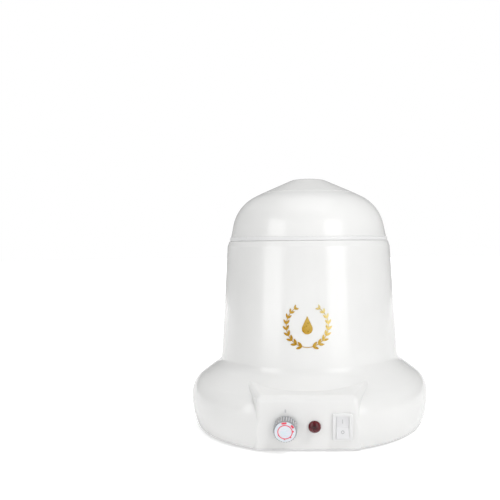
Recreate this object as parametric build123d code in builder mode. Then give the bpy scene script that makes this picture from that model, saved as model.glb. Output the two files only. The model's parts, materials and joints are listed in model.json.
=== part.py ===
"""Small depilatory wax heater, 400 ml class: a bell-shaped electric warmer with a lift-off dome lid.

Frame: millimetres, +Z up, the origin on the floor under the middle of the bell.
The control panel faces -Y and the mains cord leaves at +Y.
"""

from build123d import *

from math import acos, cos, degrees, radians, sin, sqrt, tan
import os

os.makedirs("parts", exist_ok=True)


# ---------------------------------------------------------------- driving dimensions

wall = 2.5                      # moulded shell thickness
foot_height = 2.0               # the rubber ring holds the shell edge off the table
run_gap = 0.05                  # running clearance of turning pieces
seat_gap = 0.02                 # between faces that rest on each other
loose_gap = 0.4                 # between pieces that only sit inside one another
fit_gap = 0.1                   # around a pin or sleeve in its hole
overrun = 1.0                   # how far a cutting shape runs past what it cuts
same_way = 0.9                  # cosine above which a face counts as facing a direction
print_gap = 0.01                # under a printed mark
print_height = 0.12

# bell, outside
base_radius = 103.0             # widest point of the flared base
base_widest_z = 24.0            # where its upright band ends and the shoulder's rounding starts
base_edge_radius = 98.5         # at the lower edge
body_radius = 77.4              # where the tapered body starts
body_low_z = 63.0
body_taper = 3.43               # body wall from the vertical, degrees
body_top_z = 156.6
body_chamfer = 4.4              # height of the step under the rim ring
lip_radius = 70.6               # outer edge of the body's top lip
shoulder_radius = 82.4          # one point of the straight shoulder
shoulder_z = 50.4
shoulder_slope = 35.8
waist_fillet = 10.0
shoulder_fillet = 18.0

# flat control console at the front
panel_distance = 96.0           # panel face to the bell's axis, at the height of the controls
panel_z = 20.0
panel_tilt = 10.0               # the panel leans over the floor
console_half_width = 36.0
console_depth = 60.0            # its hidden back, distance from the bell's axis
ledge_front_z = 42.5
ledge_slope = 12.0
console_flare = 24.0            # its sides spread towards the bell
console_side_fillet = 4.0
console_top_fillet = 4.5

# control places across the panel, and the holes for them
knob_x = -16.0
lamp_x = 5.3
switch_x = 25.8
bushing_hole = 4.2              # radius
lamp_hole = 3.9                 # radius
switch_cutout = (13.0, 19.2)

# rim ring between the body and the lid
ring_radius = 70.0
ring_top_z = 160.2
ring_bore = 66.5
ring_ledge_z = 156.9            # carries the flange of the heating well
ring_ledge_inner = 60.5
ring_ledge_thickness = 2.9
ring_spigot_radius = 69.1
ring_spigot_depth = 8.6
ring_edge = 0.6                 # chamfer of its outer edges
well_screw_circle = 62.6

# lid
lid_wall = 2.5
lid_bottom_radius = 69.0
lid_corner_radius = 63.4        # where the skirt and the dome would meet without their rounding
lid_corner_z = 188.0
lid_shoulder = 36.0
lid_crease_radius = 42.0
lid_crease_z = 198.8
lid_plateau_radius = 14.0
lid_plateau_fillet = 12.0
crease_groove = 0.5
lip_play = 0.6                  # between the lid's locating lip and the ring's bore
lip_inner = 2.4                 # inner face of the lip, from the ring's bore
lip_depth = 1.7
lip_root = 2.0                  # the lip joins the skirt between these two heights
lip_brace = 6.0
lid_top_z = 211.3

# heating well and removable pot, sheet aluminium
well_sheet = 1.2
well_flange_radius = 65.4
well_bowl_radius = 58.0
well_step_z = 147.0
well_radius = 45.0
well_bends = (1.5, 3.0, 2.5, 8.0)   # inside radii from the flange down to the floor
pot_sheet = 1.0
pot_radius = 42.4
pot_depth = 77.0
pot_bends = (1.5, 8.0)          # under the flange and around the floor
pot_floor_gap = 1.0             # air between the pot and the well's floor
pot_rim_radius = 51.0
pot_bead = 1.2                  # radius of the rolled rim

# carrying bail of the pot
wire_radius = 1.5
bail_lift = 3.6                 # pivot above the pot's flange
bail_half_span = 53.5
bail_reach = 50.0
bail_bend = 2.5
lug_x = 48.8                    # middle of the ear's upright lug
lug_thickness = 1.2
ear_inner = 44.6                # inner end of the ear's riveted foot
rivet_x = 46.6
rivet_y = 5.0
rivet_hole = 1.1                # radius

# mains cord
cord_radius = 3.0
hank_end = 80.0                 # half length of the tied coil
hank_side = 9.5                 # half distance between its two bundles
hank_y = 154.0
hank_z = 4.4                    # centre of the lowest strand
hank_pitch = 6.4
hank_turns = 3
plug_place = (-58.0, 121.0, 8.0)
plug_front = 16.0               # plug face and cord entry from plug_place
plug_rear = 20.0
cord_in_plug = 12.0


# ---------------------------------------------------------------- derived places

taper = tan(radians(body_taper))
slope = tan(radians(shoulder_slope))
lean = tan(radians(panel_tilt))
panel = Plane(
    origin=(0, -panel_distance, panel_z),
    x_dir=(1, 0, 0),
    z_dir=(0, -cos(radians(panel_tilt)), -sin(radians(panel_tilt))),
)
well_flange_z = ring_ledge_z + seat_gap
pot_flange_z = well_step_z + run_gap + pot_sheet
pivot_z = pot_flange_z + bail_lift
pot_floor_z = pot_flange_z - pot_depth
well_floor_z = pot_floor_z - pot_sheet - pot_floor_gap
well_outside = well_radius + well_sheet
well_under_z = well_floor_z - well_sheet
plate_bottom_z = foot_height + 0.4
plate_thickness = 2.4
plate_top_z = plate_bottom_z + plate_thickness


# how a cylinder or box sits on its own origin
standing = (Align.CENTER, Align.CENTER, Align.MIN)
hanging = (Align.CENTER, Align.CENTER, Align.MAX)


def finish(builder, name):
    """Label a finished piece and write it to its own file."""
    builder.part.label = name
    export_step(builder.part, f"parts/{name}.step")


def body_wall_radius(height, inset=0.0):
    """Radius of the tapered body wall at a height, moved inward by inset."""
    return body_radius - taper * (height - body_low_z) - inset / cos(radians(body_taper))


def panel_y(height, inset=0.0):
    """y of the flat panel at a height, moved inward by inset."""
    return inset / cos(radians(panel_tilt)) - panel_distance - lean * (height - panel_z)


def on_panel(across, up, out):
    """Point in the panel's own directions: across, up along the face, and outward."""
    return panel.from_local_coords(Vector(across, up, out))


# ---------------------------------------------------------------- housing

def console_solid(inset, low_z):
    """Wedge that carries the flat panel, every outer face moved inward by inset."""
    ledge_y = panel_y(ledge_front_z, inset)
    back_y = -console_depth
    drop = inset / cos(radians(ledge_slope))
    rise = (back_y - ledge_y) * tan(radians(ledge_slope))
    flare = tan(radians(console_flare))
    front_half = console_half_width - inset / cos(radians(console_flare))
    front_half += (ledge_y - panel_y(ledge_front_z)) * flare
    back_half = front_half + (back_y - ledge_y) * flare
    with BuildPart() as console:
        with BuildSketch(Plane.YZ):
            with BuildLine():
                Polyline(
                    (panel_y(low_z, inset), low_z),
                    (ledge_y, ledge_front_z - drop),
                    (back_y, ledge_front_z - drop + rise),
                    (back_y, low_z),
                    close=True,
                )
            make_face()
        extrude(amount=base_radius, both=True)
        with BuildSketch(Plane.XY):
            with BuildLine():
                Polyline(
                    (-front_half, ledge_y),
                    (front_half, ledge_y),
                    (back_half, back_y),
                    (-back_half, back_y),
                    close=True,
                )
            make_face()
        extrude(amount=base_radius, mode=Mode.INTERSECT)
        front_face = console.faces().filter_by(lambda f: f.normal_at().dot(panel.z_dir) > same_way)
        upright = front_face.edges().sort_by(Axis.X)
        fillet([upright[0], upright[-1]], console_side_fillet - inset)
        ledge_face = console.faces().filter_by(lambda f: f.normal_at().Z > same_way)
        ledge_edges = ledge_face.edges().filter_by(lambda e: (e @ 0.5).Y < back_y - overrun)
        fillet(ledge_edges, console_top_fillet - inset)
    return console.part


def bell_solid(inset):
    """Solid bell with its console, every outer face moved inward by inset."""
    low_z = foot_height if inset == 0 else 0
    top_z = body_top_z if inset == 0 else body_top_z + overrun
    wide = base_radius - inset
    drop = inset / cos(radians(shoulder_slope))
    shoulder_at_wide = shoulder_z - (wide - shoulder_radius) * slope - drop
    # where the shoulder line meets the body wall
    wall_at_shoulder = body_wall_radius(shoulder_z, inset)
    waist_rise = ((shoulder_radius - wall_at_shoulder) * slope - drop) / (1 - taper * slope)
    waist_z = shoulder_z + waist_rise
    console = console_solid(inset, low_z)
    with BuildPart() as bell:
        with BuildSketch(Plane.XZ):
            with BuildLine():
                flank = FilletPolyline(
                    (body_wall_radius(top_z - body_chamfer, inset), top_z - body_chamfer),
                    (body_wall_radius(waist_z, inset), waist_z),
                    (wide, shoulder_at_wide),
                    (wide, base_widest_z),
                    radius=(waist_fillet + inset, shoulder_fillet - inset),
                )
                tuck = TangentArc(flank @ 1, (base_edge_radius - inset, low_z), tangent=(0, -1))
                lip = lip_radius if inset == 0 else body_wall_radius(top_z, inset)
                Polyline(tuck @ 1, (0, low_z), (0, top_z), (lip, top_z), flank @ 0)
            make_face()
        revolve(axis=Axis.Z)
        add(console)
        split(bisect_by=panel.offset(-inset), keep=Keep.BOTTOM)
    return bell


bell = bell_solid(0)
cavity = bell_solid(wall)

boss_circle = 90.0
boss_radius = 4.0
boss_bore = 1.35
with BuildPart() as bosses:
    with BuildSketch(Plane.XY.offset(plate_top_z + seat_gap)):
        with PolarLocations(boss_circle, 4, start_angle=45):
            Circle(boss_radius)
            Circle(boss_bore, mode=Mode.SUBTRACT)
    extrude(amount=shoulder_z)
    add(bell.part, mode=Mode.INTERSECT)

grommet_z = 18.0
grommet_hole = 5.0
with BuildPart() as housing_shell:
    add(bell.part)
    add(cavity.part, mode=Mode.SUBTRACT)
    add(bosses.part)
    with Locations(panel):
        with Locations((knob_x, 0, 0)):
            Hole(bushing_hole, depth=wall * 2)
        with Locations((lamp_x, 0, 0)):
            Hole(lamp_hole, depth=wall * 2)
        with Locations((switch_x, 0, 0)):
            Box(*switch_cutout, wall * 4, mode=Mode.SUBTRACT)
    with Locations(Plane((0, base_radius, grommet_z), z_dir=(0, 1, 0))):
        Hole(grommet_hole, depth=wall * 3)
finish(housing_shell, "housing_shell")


# ---------------------------------------------------------------- base plate, rubber ring and screws

plate_radius = base_edge_radius - wall - loose_gap
foot_circle = 75.0              # middle of the anti-slip ring and of its four pegs
foot_width = 9.0
foot_peg_radius = 3.0
foot_peg_height = plate_thickness + 2
foot_fillet = 1.2
screw_radius = 1.5
screw_play = 0.3
screw_head_radius = 3.2
screw_head_height = 1.4
base_screw_length = 14.0
clamp_y = 72.0
clamp_reach = 11.0              # half distance of the cord clamp's screws
clamp_post_height = 3.0
clamp_post_radius = 4.0
block_place = (0.0, 34.0)
slot_rings = ((30, 8), (48, 12))    # radius and number of cooling slots in each ring
slot_size = (14, 3)

with BuildPart() as base_plate:
    with BuildSketch(Plane.XY.offset(plate_bottom_z)):
        Circle(plate_radius)
        with PolarLocations(boss_circle, 4, start_angle=45):
            Circle(screw_radius + screw_play, mode=Mode.SUBTRACT)
        with PolarLocations(foot_circle, 4, start_angle=45):
            Circle(foot_peg_radius + fit_gap, mode=Mode.SUBTRACT)
        for slot_circle, slot_count in slot_rings:
            with PolarLocations(slot_circle, slot_count, start_angle=180 / slot_count):
                SlotOverall(*slot_size, mode=Mode.SUBTRACT)
    extrude(amount=plate_thickness)
    split(bisect_by=panel.offset(-wall - loose_gap), keep=Keep.BOTTOM)
    with BuildSketch(Plane.XY.offset(plate_top_z)):
        with Locations((-clamp_reach, clamp_y), (clamp_reach, clamp_y)):
            Circle(clamp_post_radius)
            Circle(boss_bore, mode=Mode.SUBTRACT)
    extrude(amount=clamp_post_height)
finish(base_plate, "base_plate")

with BuildPart() as anti_slip_ring:
    with BuildSketch():
        Circle(foot_circle + foot_width / 2)
        Circle(foot_circle - foot_width / 2, mode=Mode.SUBTRACT)
    extrude(amount=plate_bottom_z - seat_gap)
    fillet(anti_slip_ring.edges().group_by(Axis.Z)[0], foot_fillet)
    with PolarLocations(foot_circle, 4, start_angle=45):
        with Locations((0, 0, plate_bottom_z - seat_gap)):
            Cylinder(foot_peg_radius, foot_peg_height, align=standing)
finish(anti_slip_ring, "anti_slip_ring")


shank_radius = boss_bore - seat_gap
drive_slot = 0.6                # width of the crossed recess in a screw head
drive_reach = 1.2               # its length, in head radii
drive_sink = 0.9                # its depth, in head heights
head_rounding = 0.45            # in head heights


def screw(length, head_radius, head_height):
    """Pan-head screw: head above its own origin, shank below, with a crossed recess."""
    drive_span = head_radius * drive_reach
    with BuildPart() as made:
        Cylinder(head_radius, head_height, align=standing)
        fillet(made.edges().group_by(Axis.Z)[-1], head_height * head_rounding)
        Cylinder(shank_radius, length, align=hanging)
        with Locations((0, 0, head_height)):
            Box(drive_span, drive_slot, head_height * drive_sink, mode=Mode.SUBTRACT)
            Box(drive_slot, drive_span, head_height * drive_sink, mode=Mode.SUBTRACT)
    return made.part


base_screw = screw(base_screw_length, screw_head_radius, screw_head_height)
with BuildPart() as base_screws:
    with PolarLocations(boss_circle, 4, start_angle=45):
        with Locations(Location((0, 0, plate_bottom_z - seat_gap), (180, 0, 0))):
            add(base_screw)
finish(base_screws, "base_screws")


# ---------------------------------------------------------------- rim ring and heating well

with BuildPart() as rim_ring:
    ring_low_z = body_top_z + seat_gap
    with BuildSketch(Plane.XZ):
        with BuildLine():
            Polyline(
                (ring_spigot_radius, ring_low_z - ring_spigot_depth),
                (ring_spigot_radius, ring_low_z),
                (ring_radius - ring_edge, ring_low_z),
                (ring_radius, ring_low_z + ring_edge),
                (ring_radius, ring_top_z - ring_edge),
                (ring_radius - ring_edge, ring_top_z),
                (ring_bore, ring_top_z),
                (ring_bore, ring_ledge_z),
                (ring_ledge_inner, ring_ledge_z),
                (ring_ledge_inner, ring_ledge_z - ring_ledge_thickness),
                (ring_bore, ring_ledge_z - ring_ledge_thickness),
                (ring_bore, ring_low_z - ring_spigot_depth),
                close=True,
            )
        make_face()
    revolve(axis=Axis.Z)
    with PolarLocations(well_screw_circle, 3, start_angle=30):
        with Locations((0, 0, ring_ledge_z)):
            Hole(boss_bore, depth=ring_ledge_thickness)
finish(rim_ring, "rim_ring")


def sheet_bowl(outline, radii, sheet):
    """Spun bowl: a thin sheet below and outside an (r, z) outline from its rim to the axis."""
    with BuildPart() as bowl:
        with BuildSketch(Plane.XZ):
            with BuildLine():
                FilletPolyline(*outline, radius=radii)
                offset(amount=sheet, side=Side.LEFT)
            make_face()
        revolve(axis=Axis.Z)
    return bowl.part


well_head_radius = 2.5
well_head_height = 1.1
well_head_sink = 0.05           # the heads lie this far under the flange's face
well_screw_length = 7.0
with BuildPart() as heating_well:
    flange_top = well_flange_z + well_sheet
    add(sheet_bowl(
        [
            (well_flange_radius, flange_top),
            (well_bowl_radius, flange_top),
            (well_bowl_radius, well_step_z),
            (well_radius, well_step_z),
            (well_radius, well_floor_z),
            (0, well_floor_z),
        ],
        well_bends,
        well_sheet,
    ))
    with PolarLocations(well_screw_circle, 3, start_angle=30):
        with Locations((0, 0, flange_top)):
            CounterSinkHole(screw_radius + fit_gap, well_head_radius + fit_gap, depth=well_sheet * 2)
finish(heating_well, "heating_well")

with BuildPart() as countersunk_screw:
    Cone(shank_radius, well_head_radius, well_head_height, align=hanging)
    Cylinder(shank_radius, well_screw_length, align=hanging)
    drive_span = well_head_radius * drive_reach
    drive_depth = well_head_height * drive_sink
    Box(drive_span, drive_slot, drive_depth, mode=Mode.SUBTRACT)
    Box(drive_slot, drive_span, drive_depth, mode=Mode.SUBTRACT)
with BuildPart() as well_screws:
    with PolarLocations(well_screw_circle, 3, start_angle=30):
        with Locations((0, 0, flange_top - well_head_sink)):
            add(countersunk_screw.part)
finish(well_screws, "well_screws")


# ---------------------------------------------------------------- heater band and insulation

band_low_z = 80.0
band_height = 48.0
band_inner = well_outside + fit_gap
band_thickness = 2.0
band_gap_angle = 14.0
tab_length = 8.0
tab_thickness = 1.2
bolt_inset = 12.0               # from the band's edges
bolt_heights = (band_low_z + bolt_inset, band_low_z + band_height - bolt_inset)
bolt_y = band_inner + 5.2
bolt_radius = 2.0
bolt_overhang = 4.5             # from the gap to the head
bolt_tail = 3.5                 # from the gap to the threaded end
bolt_head_radius = 3.3
bolt_head_height = 2.4

with BuildPart() as heater_band:
    with BuildSketch(Plane.XY.offset(band_low_z)):
        Circle(band_inner + band_thickness)
        Circle(band_inner, mode=Mode.SUBTRACT)
        gap_width = 2 * band_inner * sin(radians(band_gap_angle / 2))
        with Locations((0, band_inner + band_thickness / 2)):
            Rectangle(gap_width, 6 * band_thickness, mode=Mode.SUBTRACT)
        for side in (-1, 1):
            with Locations((side * (gap_width + tab_thickness) / 2, band_inner + tab_length / 2)):
                Rectangle(tab_thickness, tab_length)
    extrude(amount=band_height)
    for height in bolt_heights:
        with Locations(Plane((0, bolt_y, height), z_dir=(1, 0, 0))):
            Hole(bolt_radius + fit_gap, depth=gap_width)
finish(heater_band, "heater_band")

with BuildPart() as band_bolts:
    for height in bolt_heights:
        head_plane = Plane((-gap_width / 2 - bolt_overhang, bolt_y, height), z_dir=(1, 0, 0))
        with BuildSketch(head_plane):
            Circle(bolt_radius)
        extrude(amount=gap_width + bolt_overhang + bolt_tail)
        with BuildSketch(head_plane):
            RegularPolygon(bolt_head_radius, 6)
        extrude(amount=-bolt_head_height)
finish(band_bolts, "band_bolts")

wrap_inner = band_inner + band_thickness + 0.6
wrap_thickness = 8.0
wrap_below = 5.0                # past the band's lower edge
wrap_height = band_height + 12
wrap_gap = 26.0                 # leaves the band's tabs and bolts free
wrap_edge = 1.5
with BuildPart() as insulation_wrap:
    with BuildSketch(Plane.XY.offset(band_low_z - wrap_below)):
        Circle(wrap_inner + wrap_thickness)
        Circle(wrap_inner, mode=Mode.SUBTRACT)
        with Locations((0, wrap_inner + wrap_thickness / 2)):
            Rectangle(wrap_gap, 2.5 * wrap_thickness, mode=Mode.SUBTRACT)
    extrude(amount=wrap_height)
    fillet(insulation_wrap.edges().filter_by(GeomType.CIRCLE), wrap_edge)
finish(insulation_wrap, "insulation_wrap")

fuse_x = 14.0
fuse_z = well_under_z - 3.6
fuse_radius = 2.2
fuse_half_length = 10.0
fuse_edge = 0.5
clip_bore = 2.4                 # spring clip around the fuse: radius
clip_top = 2.8                  # height of its arm over the fuse's axis
clip_arm = 9.0                  # reach of the arm from the axis
clip_sheet = 0.6
clip_half_width = 3.0
with BuildPart() as thermal_fuse:
    with BuildSketch(Plane((fuse_x, -fuse_half_length, fuse_z), z_dir=(0, 1, 0))):
        Circle(fuse_radius)
    extrude(amount=2 * fuse_half_length)
    chamfer(thermal_fuse.edges(), fuse_edge)
finish(thermal_fuse, "thermal_fuse")

with BuildPart() as fuse_clip:
    with BuildSketch(Plane((fuse_x, -clip_half_width, fuse_z), x_dir=(1, 0, 0), z_dir=(0, -1, 0))):
        with BuildLine():
            CenterArc((0, 0), clip_bore, 0, -180)
            Polyline((-clip_bore, 0), (-clip_bore, clip_top), (-clip_arm, clip_top))
            Line((clip_bore, 0), (clip_bore, clip_top))
            offset(amount=clip_sheet, side=Side.LEFT)
        make_face()
    extrude(amount=-2 * clip_half_width)
finish(fuse_clip, "fuse_clip")


# ---------------------------------------------------------------- lid

with BuildPart() as lid_shell:
    lid_low_z = ring_top_z + run_gap
    with BuildSketch(Plane.XZ):
        with BuildLine():
            FilletPolyline(
                (lid_bottom_radius, lid_low_z),
                (lid_corner_radius, lid_corner_z),
                (lid_crease_radius, lid_crease_z),
                (lid_plateau_radius, lid_top_z),
                (0, lid_top_z),
                radius=(lid_shoulder, 0, lid_plateau_fillet),
            )
            offset(amount=lid_wall, side=Side.LEFT)
        make_face()
        # square off the lower edge, which the leaning wall brings below the ring's top
        with Locations((lid_bottom_radius, lid_low_z)):
            Rectangle(2 * lid_wall, lid_wall, align=(Align.CENTER, Align.MAX), mode=Mode.SUBTRACT)
        # locating lip inside the rim ring
        with BuildLine():
            Polyline(
                (ring_bore - lip_play, lid_low_z - lip_depth),
                (ring_bore - lip_inner, lid_low_z - lip_depth),
                (ring_bore - lip_inner, lid_low_z + lip_root),
                (ring_bore + lip_play, lid_low_z + lip_brace),
                (ring_bore + lip_play, lid_low_z),
                (ring_bore - lip_play, lid_low_z),
                close=True,
            )
        make_face()
    revolve(axis=Axis.Z)
    with BuildSketch(Plane.XZ):
        with Locations((lid_crease_radius, lid_crease_z)):
            Circle(crease_groove)
    revolve(axis=Axis.Z, mode=Mode.SUBTRACT)
finish(lid_shell, "lid_shell")


# ---------------------------------------------------------------- wax pot and its bail

with BuildPart() as wax_pot:
    add(sheet_bowl(
        [
            (pot_rim_radius, pot_flange_z),
            (pot_radius, pot_flange_z),
            (pot_radius, pot_floor_z),
            (0, pot_floor_z),
        ],
        pot_bends,
        pot_sheet,
    ))
    with BuildSketch(Plane.XZ):
        with Locations((pot_rim_radius, pot_flange_z + pot_bead - pot_sheet)):
            Circle(pot_bead)
    revolve(axis=Axis.Z)
    with GridLocations(2 * rivet_x, 2 * rivet_y, 2, 2):
        with Locations((0, 0, pot_flange_z)):
            Hole(rivet_hole, depth=pot_sheet)
finish(wax_pot, "wax_pot")

ear_z = pot_flange_z + seat_gap
ear_sheet = 0.8
ear_width = 14.0
ear_foot_middle = (ear_inner + lug_x + lug_thickness / 2) / 2
ear_foot_length = lug_x + lug_thickness / 2 - ear_inner
ear_corner = 0.9
lug_radius = 4.0
rivet_head_radius = 1.9
rivet_head_height = 0.8
rivet_head_edge = 0.5
bail_end_x = lug_x - 2.5        # the wire's ends, just inside the lugs
with BuildPart() as pot_ears:
    for side in (-1, 1):
        with BuildSketch(Plane.XY.offset(ear_z)):
            with Locations((side * ear_foot_middle, 0)):
                RectangleRounded(ear_foot_length, ear_width, ear_corner)
            with Locations((side * rivet_x, rivet_y), (side * rivet_x, -rivet_y)):
                Circle(rivet_hole, mode=Mode.SUBTRACT)
        extrude(amount=ear_sheet)
        with BuildSketch(Plane((side * lug_x, 0, 0), x_dir=(0, 1, 0), z_dir=(1, 0, 0))):
            with BuildLine():
                Polyline(
                    (-lug_radius, pivot_z),
                    (-lug_radius, ear_z),
                    (lug_radius, ear_z),
                    (lug_radius, pivot_z),
                )
                CenterArc((0, pivot_z), lug_radius, 0, 180)
            make_face()
            with Locations((0, pivot_z)):
                Circle(wire_radius + run_gap, mode=Mode.SUBTRACT)
        extrude(amount=lug_thickness / 2, both=True)
finish(pot_ears, "pot_ears")

with BuildPart() as pot_rivets:
    rivet_head_z = ear_z + ear_sheet + seat_gap
    with GridLocations(2 * rivet_x, 2 * rivet_y, 2, 2):
        with Locations((0, 0, rivet_head_z)):
            Cylinder(rivet_hole - seat_gap, rivet_head_z - pot_flange_z + pot_sheet, align=hanging)
            Cylinder(rivet_head_radius, rivet_head_height, align=standing)
    fillet(pot_rivets.edges().group_by(Axis.Z)[-1], rivet_head_edge)
finish(pot_rivets, "pot_rivets")

with BuildPart() as pot_bail:
    with BuildLine(Plane.XY.offset(pivot_z)) as bail_path:
        for side in (-1, 1):
            Line((side * bail_end_x, 0), (side * (bail_half_span - bail_bend), 0))
            corner = (side * (bail_half_span - bail_bend), bail_bend)
            CenterArc(corner, bail_bend, -90, side * 90)
        EllipticalCenterArc(
            (0, bail_bend), bail_half_span, bail_reach - bail_bend, start_angle=0, arc_size=180
        )
    with BuildSketch(Plane((bail_end_x, 0, pivot_z), z_dir=(1, 0, 0))):
        Circle(wire_radius)
    sweep(path=bail_path.wires()[0])
finish(pot_bail, "pot_bail")


# ---------------------------------------------------------------- thermostat and its knob

shaft_radius = 2.0
bushing_radius = 4.0
shaft_tip = 7.0
shaft_seat = 10.0               # depth of the shaft inside the thermostat
thermostat_size = (22, 23)
thermostat_depth = 13.0
thermostat_corner = 2.0
bushing_root = 1.0              # length of the bushing inside the body
bushing_tip = 3.0               # and in front of the panel
flat_from = 3.6                 # the shaft's flat starts this far in front of the panel
flat_depth = 0.6
nut_radius = 6.2
nut_height = 2.2
with BuildPart() as thermostat_body:
    with BuildSketch(panel.offset(-wall - seat_gap)):
        with Locations((knob_x, 0)):
            RectangleRounded(*thermostat_size, thermostat_corner)
            Circle(shaft_radius + run_gap, mode=Mode.SUBTRACT)
    extrude(amount=-thermostat_depth)
    with BuildSketch(panel.offset(-wall - bushing_root)):
        with Locations((knob_x, 0)):
            Circle(bushing_radius)
            Circle(shaft_radius + run_gap, mode=Mode.SUBTRACT)
    extrude(amount=bushing_root + wall + bushing_tip)
finish(thermostat_body, "thermostat_body")

with BuildPart() as thermostat_nut:
    with BuildSketch(panel.offset(seat_gap)):
        with Locations((knob_x, 0)):
            RegularPolygon(nut_radius, 6)
            Circle(bushing_radius + seat_gap, mode=Mode.SUBTRACT)
    extrude(amount=nut_height)
finish(thermostat_nut, "thermostat_nut")

tab_reach = 7.0
tab_size = (4.8, 0.8)
stat_tab_across = 6.0           # thermostat tabs either side of the shaft
stat_tab_up = 4.0
thermostat_back = -wall - thermostat_depth - 2 * seat_gap
with BuildPart() as thermostat_terminals:
    with BuildSketch(panel.offset(thermostat_back)):
        with Locations((knob_x - stat_tab_across, stat_tab_up), (knob_x + stat_tab_across, stat_tab_up)):
            Rectangle(*tab_size)
    extrude(amount=-tab_reach)
finish(thermostat_terminals, "thermostat_terminals")

with BuildPart() as thermostat_shaft:
    with BuildSketch(panel.offset(-wall - shaft_seat)):
        with Locations((knob_x, 0)):
            Circle(shaft_radius)
    extrude(amount=wall + shaft_seat + shaft_tip)
    # flat for the knob on the outer end
    with BuildSketch(panel.offset(flat_from)):
        with Locations((knob_x, shaft_radius)):
            Rectangle(3 * shaft_radius, 2 * flat_depth)
    extrude(amount=shaft_tip, mode=Mode.SUBTRACT)
finish(thermostat_shaft, "thermostat_shaft")

knob_radius = 8.65
knob_base = 0.6                 # clear of the panel
knob_face = 8.4
knob_grooves = 28
groove_radius = 0.55
knob_bevel = 0.9                # height of its sloping outer edge
knob_bevel_angle = 35.0
knob_cap = 8.2                  # radius where that edge starts
# stepped hollow at its back, over the nut and over the threaded bushing: radius and depth
knob_hollows = ((7.0, 2.6), (bushing_radius + loose_gap, 3.0))
knob_bore_depth = 7.2
with BuildPart() as thermostat_knob:
    with BuildSketch(panel.offset(knob_base)):
        with Locations((knob_x, 0)):
            Circle(knob_radius)
            for step in range(knob_grooves):
                turn = radians(360 / knob_grooves * step)
                with Locations((knob_radius * cos(turn), knob_radius * sin(turn))):
                    Circle(groove_radius, mode=Mode.SUBTRACT)
    extrude(amount=knob_face - knob_base - knob_bevel)
    with BuildSketch(panel.offset(knob_face - knob_bevel)):
        with Locations((knob_x, 0)):
            Circle(knob_cap)
    extrude(amount=knob_bevel, taper=knob_bevel_angle)
    for hollow_radius, hollow_depth in knob_hollows:
        with BuildSketch(panel.offset(knob_base)):
            with Locations((knob_x, 0)):
                Circle(hollow_radius)
        extrude(amount=hollow_depth, mode=Mode.SUBTRACT)
    with BuildSketch(panel.offset(knob_base)):
        with Locations((knob_x, 0)):
            Circle(shaft_radius + seat_gap)
    extrude(amount=knob_bore_depth, mode=Mode.SUBTRACT)
finish(thermostat_knob, "thermostat_knob")

# heat scale: a thin ring, two bars at the hot end and four ticks that shrink clockwise after them
scale_ring = 5.2
scale_line = 0.6
bar_radius = 6.8
bars = ((95, 3.7, 1.4), (38, 2.7, 1.5))     # angle, length along the ring, width
bar_corner = 0.4
tick_angles = (4, -46, -96, -152)
tick_width = 1.1
tick_reach = 1.2
tick_shrink = 0.15
index_gap = 3.6                 # from the knob's edge to the middle of the mark above it
index_size = (2.6, 1.2)
with BuildPart() as knob_scale:
    with BuildSketch(panel.offset(knob_face + print_gap)):
        with Locations((knob_x, 0)):
            Circle(scale_ring + scale_line / 2)
            Circle(scale_ring - scale_line / 2, mode=Mode.SUBTRACT)
            for angle, length, width in bars:
                turn = radians(angle)
                with Locations(Location((bar_radius * cos(turn), bar_radius * sin(turn)), angle)):
                    RectangleRounded(width, length, bar_corner)
            for step, angle in enumerate(tick_angles):
                turn = radians(angle)
                size = 1 - tick_shrink * step
                middle = scale_ring + tick_reach * size / 2
                with Locations(Location((middle * cos(turn), middle * sin(turn)), angle)):
                    Rectangle(tick_reach * size, tick_width * size)
    extrude(amount=print_height)
finish(knob_scale, "knob_scale")

with BuildPart() as panel_index:
    with BuildSketch(panel.offset(print_gap)):
        with Locations((knob_x, knob_radius + index_gap)):
            SlotOverall(*index_size, rotation=90)
    extrude(amount=print_height)
finish(panel_index, "panel_index")


# ---------------------------------------------------------------- pilot lamp

lens_radius = 4.6
lens_stem = 3.7
lens_bore = 3.0
lens_brim = 1.1                 # height where the dome starts
lens_dome = 3.6
lens_depth = 9.0
lens_wall = 1.0                 # at the middle of the dome
lens_brim_wall = 0.5
bulb_radius = 2.6
bulb_tip = 0.5                  # its rounded end, in front of the panel
bulb_rounding = 2.0
lamp_clip_radius = 6.5
lamp_clip_bore = 3.73
lamp_clip_thickness = 1.6
with BuildPart() as lamp_lens:
    # x across the panel, y outward
    with BuildSketch(Plane(on_panel(lamp_x, 0, 0), x_dir=(1, 0, 0), z_dir=-panel.y_dir)):
        with BuildLine():
            Polyline(
                (lens_bore, lens_brim - lens_brim_wall),
                (lens_bore, -lens_depth),
                (lens_stem, -lens_depth),
                (lens_stem, seat_gap),
                (lens_radius, seat_gap),
                (lens_radius, lens_brim),
            )
            TangentArc((0, lens_dome), (lens_radius, lens_brim), tangent=(1, 0))
            inner_top = (0, lens_dome - lens_wall)
            Line((0, lens_dome), inner_top)
            TangentArc(inner_top, (lens_bore, lens_brim - lens_brim_wall), tangent=(1, 0))
        make_face()
    revolve(axis=Axis(on_panel(lamp_x, 0, 0), panel.z_dir))
finish(lamp_lens, "lamp_lens")

with BuildPart() as neon_bulb:
    with BuildSketch(panel.offset(-lens_depth)):
        with Locations((lamp_x, 0)):
            Circle(bulb_radius)
    extrude(amount=lens_depth + bulb_tip)
    fillet(neon_bulb.edges().sort_by(Axis.Y)[0], bulb_rounding)
finish(neon_bulb, "neon_bulb")

with BuildPart() as lamp_clip:
    with BuildSketch(panel.offset(-wall - seat_gap)):
        with Locations((lamp_x, 0)):
            RegularPolygon(lamp_clip_radius, 6)
            Circle(lamp_clip_bore, mode=Mode.SUBTRACT)
    extrude(amount=-lamp_clip_thickness)
finish(lamp_clip, "lamp_clip")


# ---------------------------------------------------------------- rocker switch

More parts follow.
